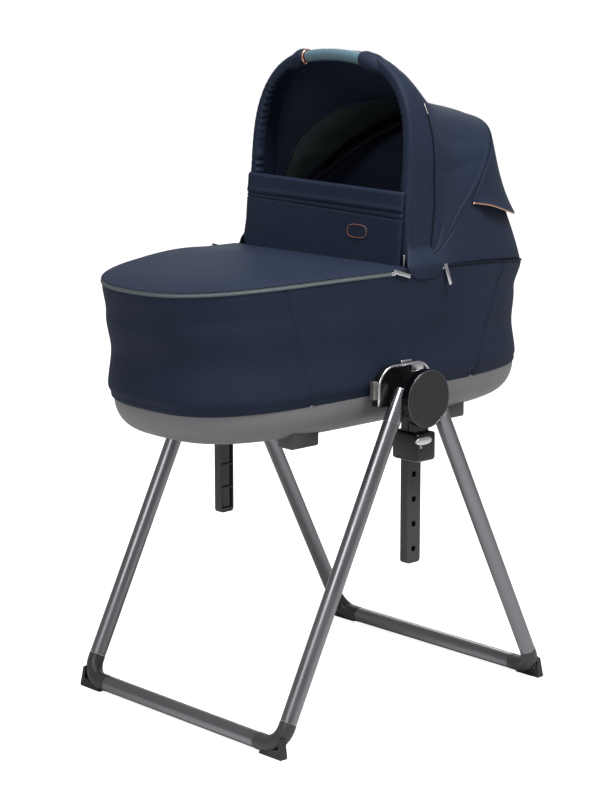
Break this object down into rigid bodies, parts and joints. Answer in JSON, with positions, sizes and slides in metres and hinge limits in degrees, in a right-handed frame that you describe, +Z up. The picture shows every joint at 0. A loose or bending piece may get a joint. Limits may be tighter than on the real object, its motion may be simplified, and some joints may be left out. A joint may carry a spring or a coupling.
{
  "type": "carrycot with folding stand",
  "caption": "Lidded baby carrycot with folding hood, grip and wind flap, resting on a folding tubular stand with posts of adjustable height.",
  "frame": {"origin": "on the floor, under the middle of the whole object's box", "axes": "+X towards the near side, -Y towards the foot end of the carrycot, +Y towards the head end with the hood, +Z up"},
  "size_m": [0.549, 0.8234, 1.09],
  "materials": {
    "navy_fabric": "woven polyester, slightly glossy",
    "dark_lining": "soft matt lining",
    "mattress_cloth": "soft cotton cover",
    "grey_shell": "satin moulded",
    "zip_grey": "woven zip tape",
    "black_plastic": "fine moulded grain",
    "hub_grey": "satin moulded",
    "gunmetal": "metallic dark grey lacquer",
    "moulded_grey": "satin moulded",
    "silver": "bright plated",
    "grip_teal": "smooth stitched leatherette",
    "rose_gold": "bright plated, warm tint"
  },
  "bodies": {
    "stand_hubs": {"hub_bracket_near": "black_plastic", "hub_bracket_far": "black_plastic", "hub_axle_near": "silver", "hub_axle_far": "silver", "hub_cover_near": "hub_grey", "hub_cover_far": "hub_grey"},
    "front_frame": {"front_arm_near": "gunmetal", "front_arm_far": "gunmetal", "front_leg_near": "gunmetal", "front_leg_far": "gunmetal", "front_elbow_near": "moulded_grey", "front_elbow_far": "moulded_grey", "front_foot_near": "black_plastic", "front_foot_far": "black_plastic", "front_cross_tube": "gunmetal"},
    "rear_frame": {"rear_arm_near": "gunmetal", "rear_arm_far": "gunmetal", "rear_leg_near": "gunmetal", "rear_leg_far": "gunmetal", "rear_elbow_near": "moulded_grey", "rear_elbow_far": "moulded_grey", "rear_foot_near": "black_plastic", "rear_foot_far": "black_plastic", "rear_cross_tube": "gunmetal"},
    "post_near": {"post_near": "black_plastic", "post_head_near": "black_plastic"},
    "post_far": {"post_far": "black_plastic", "post_head_far": "black_plastic"},
    "lock_lever_near": {"lock_lever_near": "silver"},
    "lock_lever_far": {"lock_lever_far": "silver"},
    "carrycot": {"tub_shell": "grey_shell", "side_fabric": "navy_fabric", "zip_band": "zip_grey", "lining": "dark_lining", "mattress": "mattress_cloth", "apron": "navy_fabric", "side_mount_near": "black_plastic", "side_mount_far": "black_plastic", "mount_trim_near": "silver", "mount_trim_far": "silver", "base_block_front_near": "moulded_grey", "base_block_front_far": "moulded_grey", "base_block_rear_near": "moulded_grey", "base_block_rear_far": "moulded_grey", "hood_hinge_near": "black_plastic", "hood_hinge_far": "black_plastic", "hood_canopy": "navy_fabric", "vent_flap": "navy_fabric"},
    "release_pad_near": {"release_pad_near": "silver"},
    "release_pad_far": {"release_pad_far": "silver"},
    "hood_rear_bow": {"rear_bow": "gunmetal"},
    "hood_front": {"hood_band": "navy_fabric", "hood_grip": "grip_teal", "grip_ring_near": "rose_gold", "grip_ring_far": "rose_gold"},
    "wind_flap": {"wind_flap": "navy_fabric"},
    "zip_pull_front_near": {"zip_pull_front_near": "silver"},
    "zip_pull_front_far": {"zip_pull_front_far": "silver"},
    "zip_pull_rear_near": {"zip_pull_rear_near": "silver"},
    "zip_pull_rear_far": {"zip_pull_rear_far": "silver"}
  },
  "joints": [
    {"name": "front_leg_fold", "type": "hinge", "parent": "stand_hubs", "child": "front_frame", "pos_m": [0, -0.016, 0.542], "axis": [1, 0, 0], "range_deg": [0, 26]},
    {"name": "rear_leg_fold", "type": "hinge", "parent": "stand_hubs", "child": "rear_frame", "pos_m": [0, -0.016, 0.542], "axis": [1, 0, 0], "range_deg": [-26, 0]},
    {"name": "post_height", "type": "slide", "parent": "stand_hubs", "child": "post_near", "axis": [0, 0, 1], "range_m": [0, 0.168]},
    {"name": "post_height_far", "type": "slide", "parent": "stand_hubs", "child": "post_far", "axis": [0, 0, 1], "range_m": [0, 0.168]},
    {"name": "carrycot_lift", "type": "slide", "parent": "post_near", "child": "carrycot", "axis": [0, 0, 1], "range_m": [0, 0.15]},
    {"name": "rear_bow_fold", "type": "hinge", "parent": "carrycot", "child": "hood_rear_bow", "pos_m": [0, 0.042, 0.765], "axis": [-1, 0, 0], "range_deg": [0, 33], "deforming": ["hood_canopy", "vent_flap"]},
    {"name": "hood_fold", "type": "hinge", "parent": "hood_rear_bow", "child": "hood_front", "pos_m": [0, 0.042, 0.765], "axis": [-1, 0, 0], "range_deg": [0, 42], "deforming": ["hood_canopy", "vent_flap"]},
    {"name": "wind_flap_drop", "type": "hinge", "parent": "carrycot", "child": "wind_flap", "pos_m": [0, -0.00282, 0.7522], "axis": [1, 0, 0], "range_deg": [0, 82]},
    {"name": "lock_lever_near", "type": "slide", "parent": "stand_hubs", "child": "lock_lever_near", "axis": [1, 0, 0], "range_m": [0, 0.006], "stiffness_N_per_m": 400},
    {"name": "release_pad_near", "type": "slide", "parent": "carrycot", "child": "release_pad_near", "axis": [0, 0, -1], "range_m": [0, 0.003], "stiffness_N_per_m": 600},
    {"name": "lock_lever_far", "type": "slide", "parent": "stand_hubs", "child": "lock_lever_far", "axis": [-1, 0, 0], "range_m": [0, 0.006], "stiffness_N_per_m": 400},
    {"name": "release_pad_far", "type": "slide", "parent": "carrycot", "child": "release_pad_far", "axis": [0, 0, -1], "range_m": [0, 0.003], "stiffness_N_per_m": 600},
    {"name": "zip_pull_front_near", "type": "hinge", "parent": "carrycot", "child": "zip_pull_front_near", "pos_m": [0.2226, -0.046, 0.7465], "axis": [1, 0, 0], "range_deg": [-100, 20]},
    {"name": "zip_pull_front_far", "type": "hinge", "parent": "carrycot", "child": "zip_pull_front_far", "pos_m": [-0.2226, -0.046, 0.7465], "axis": [1, 0, 0], "range_deg": [-100, 20]},
    {"name": "zip_pull_rear_near", "type": "hinge", "parent": "carrycot", "child": "zip_pull_rear_near", "pos_m": [0.2226, 0.0725, 0.7465], "axis": [1, 0, 0], "range_deg": [-70, 50]},
    {"name": "zip_pull_rear_far", "type": "hinge", "parent": "carrycot", "child": "zip_pull_rear_far", "pos_m": [-0.2226, 0.0725, 0.7465], "axis": [1, 0, 0], "range_deg": [-70, 50]}
  ],
  "couplings": [
    {"joint": "rear_leg_fold", "follows": "front_leg_fold", "ratio": -1},
    {"joint": "post_height_far", "follows": "post_height", "ratio": 1},
    {"joint": "rear_bow_fold", "follows": "hood_fold", "ratio": 0.7857}
  ]
}
